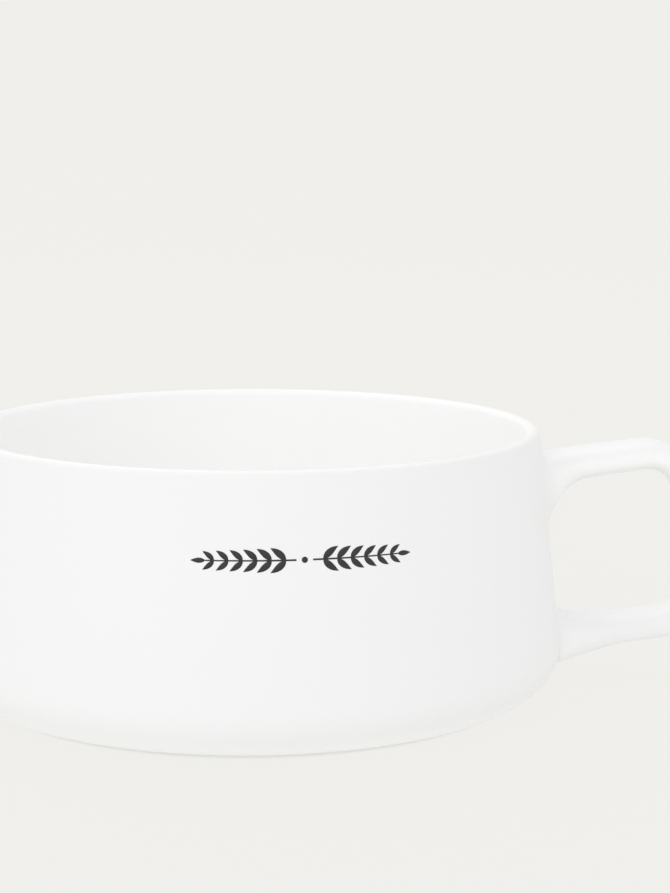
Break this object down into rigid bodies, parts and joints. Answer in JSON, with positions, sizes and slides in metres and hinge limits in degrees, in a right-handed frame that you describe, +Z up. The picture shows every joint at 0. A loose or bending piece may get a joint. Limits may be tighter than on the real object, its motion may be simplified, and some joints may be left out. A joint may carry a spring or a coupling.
{
  "type": "mug",
  "caption": "Wide, low porcelain mug with an outward-leaning wall, a rounded heel on a foot ring and a rounded-square strap handle, for hot drinks or soup.",
  "frame": {"origin": "middle of the mug's footprint with its handle, at the table", "axes": "+X points from the cup to the handle, +Y across the cup, +Z up out of the mouth"},
  "size_m": [0.1586, 0.1252, 0.053],
  "materials": {
    "cup_glaze": "white satin-gloss glaze over porcelain",
    "handle_glaze": "white satin-gloss glaze over porcelain",
    "seam_glaze": "luting slip, sponged smooth and glazed over"
  },
  "bodies": {
    "root": {"cup_body": "cup_glaze", "handle": "handle_glaze", "upper_slip_seam": "seam_glaze", "lower_slip_seam": "seam_glaze"}
  },
  "joints": []
}
